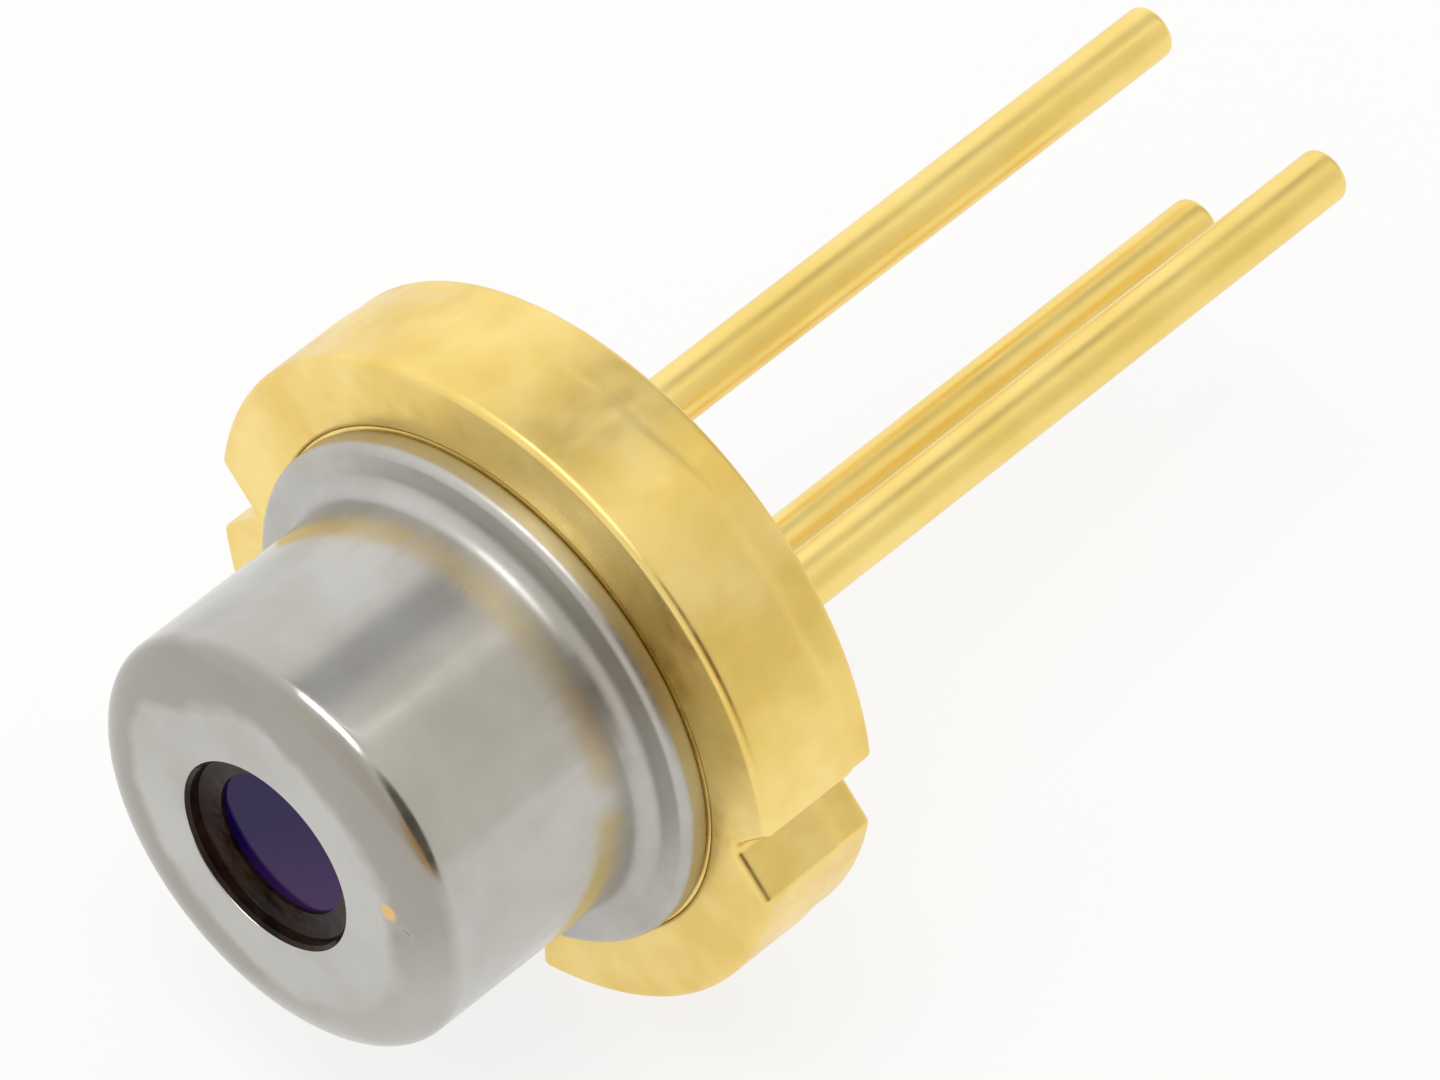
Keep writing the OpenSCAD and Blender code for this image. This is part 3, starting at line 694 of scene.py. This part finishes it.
to_the_right = span(tree, sides.outputs["X"], -0.7, 0.2, 0, 1)
sky = blend(tree, to_the_right, (1.08, 1.08, 1.08, 1), (0.84, 0.82, 0.77, 1))
sky = blend(tree, gap_between_panels(104, 4, 18), sky, (0.55, 0.55, 0.56, 1))
sky = blend(tree, patch((0.84, -0.53, 0.10), 10, 28), sky, (0.74, 0.47, 0.20, 1))
sky = blend(tree, patch((0.86, -0.13, 0.46), 20, 31), sky, (0.14, 0.13, 0.11, 1))
camera_ray = add(tree, "LightPath").outputs["Is Camera Ray"]
tree.links.new(blend(tree, camera_ray, sky, (1, 1, 1, 1)), background.inputs["Color"])


def soft_light(name, towards, width, length, brightness):
    """A flat light that faces the object from a direction. Brightness 1 looks white."""
    lamp = bpy.data.lights.new(name, "AREA")
    lamp.shape = "RECTANGLE"
    lamp.size, lamp.size_y = width, length
    lamp.energy = brightness * math.pi * width * length
    holder = bpy.data.objects.new(name, lamp)
    bpy.context.scene.collection.objects.link(holder)
    way = Vector(towards).normalized()
    holder.location = way * light_distance
    holder.rotation_euler = way.to_track_quat("Z", "Y").to_euler()


soft_light("strip_light", (0.258, 0.506, 0.823), 0.05, 0.6, 0.5)
soft_light("key_light", (0.03, -0.21, 0.98), 0.38, 0.22, 3.6)

azimuth, elevation, roll = math.radians(42.57), math.radians(46.60), math.radians(0.48)
reach = math.cos(elevation)
back = Vector((math.sin(azimuth) * reach, -math.cos(azimuth) * reach, math.sin(elevation)))
level = Vector((math.cos(azimuth), math.sin(azimuth), 0))
upright = back.cross(level)
right = level * math.cos(roll) + upright * math.sin(roll)
up = upright * math.cos(roll) - level * math.sin(roll)
camera_data = bpy.data.cameras.new("camera")
camera_data.lens = 357.34
camera_data.sensor_width = 36
camera_data.clip_start, camera_data.clip_end = 0.01, 10
camera = bpy.data.objects.new("camera", camera_data)
bpy.context.scene.collection.objects.link(camera)
camera_distance = 105.22 * mm
aim_right, aim_up = 1.685 * mm, 1.040 * mm
eye = back * camera_distance + right * aim_right + up * aim_up
camera.matrix_world = Matrix.Translation(eye) @ Matrix((right, up, back)).transposed().to_4x4()
bpy.context.scene.camera = camera
bpy.context.scene.view_settings.view_transform = "Standard"
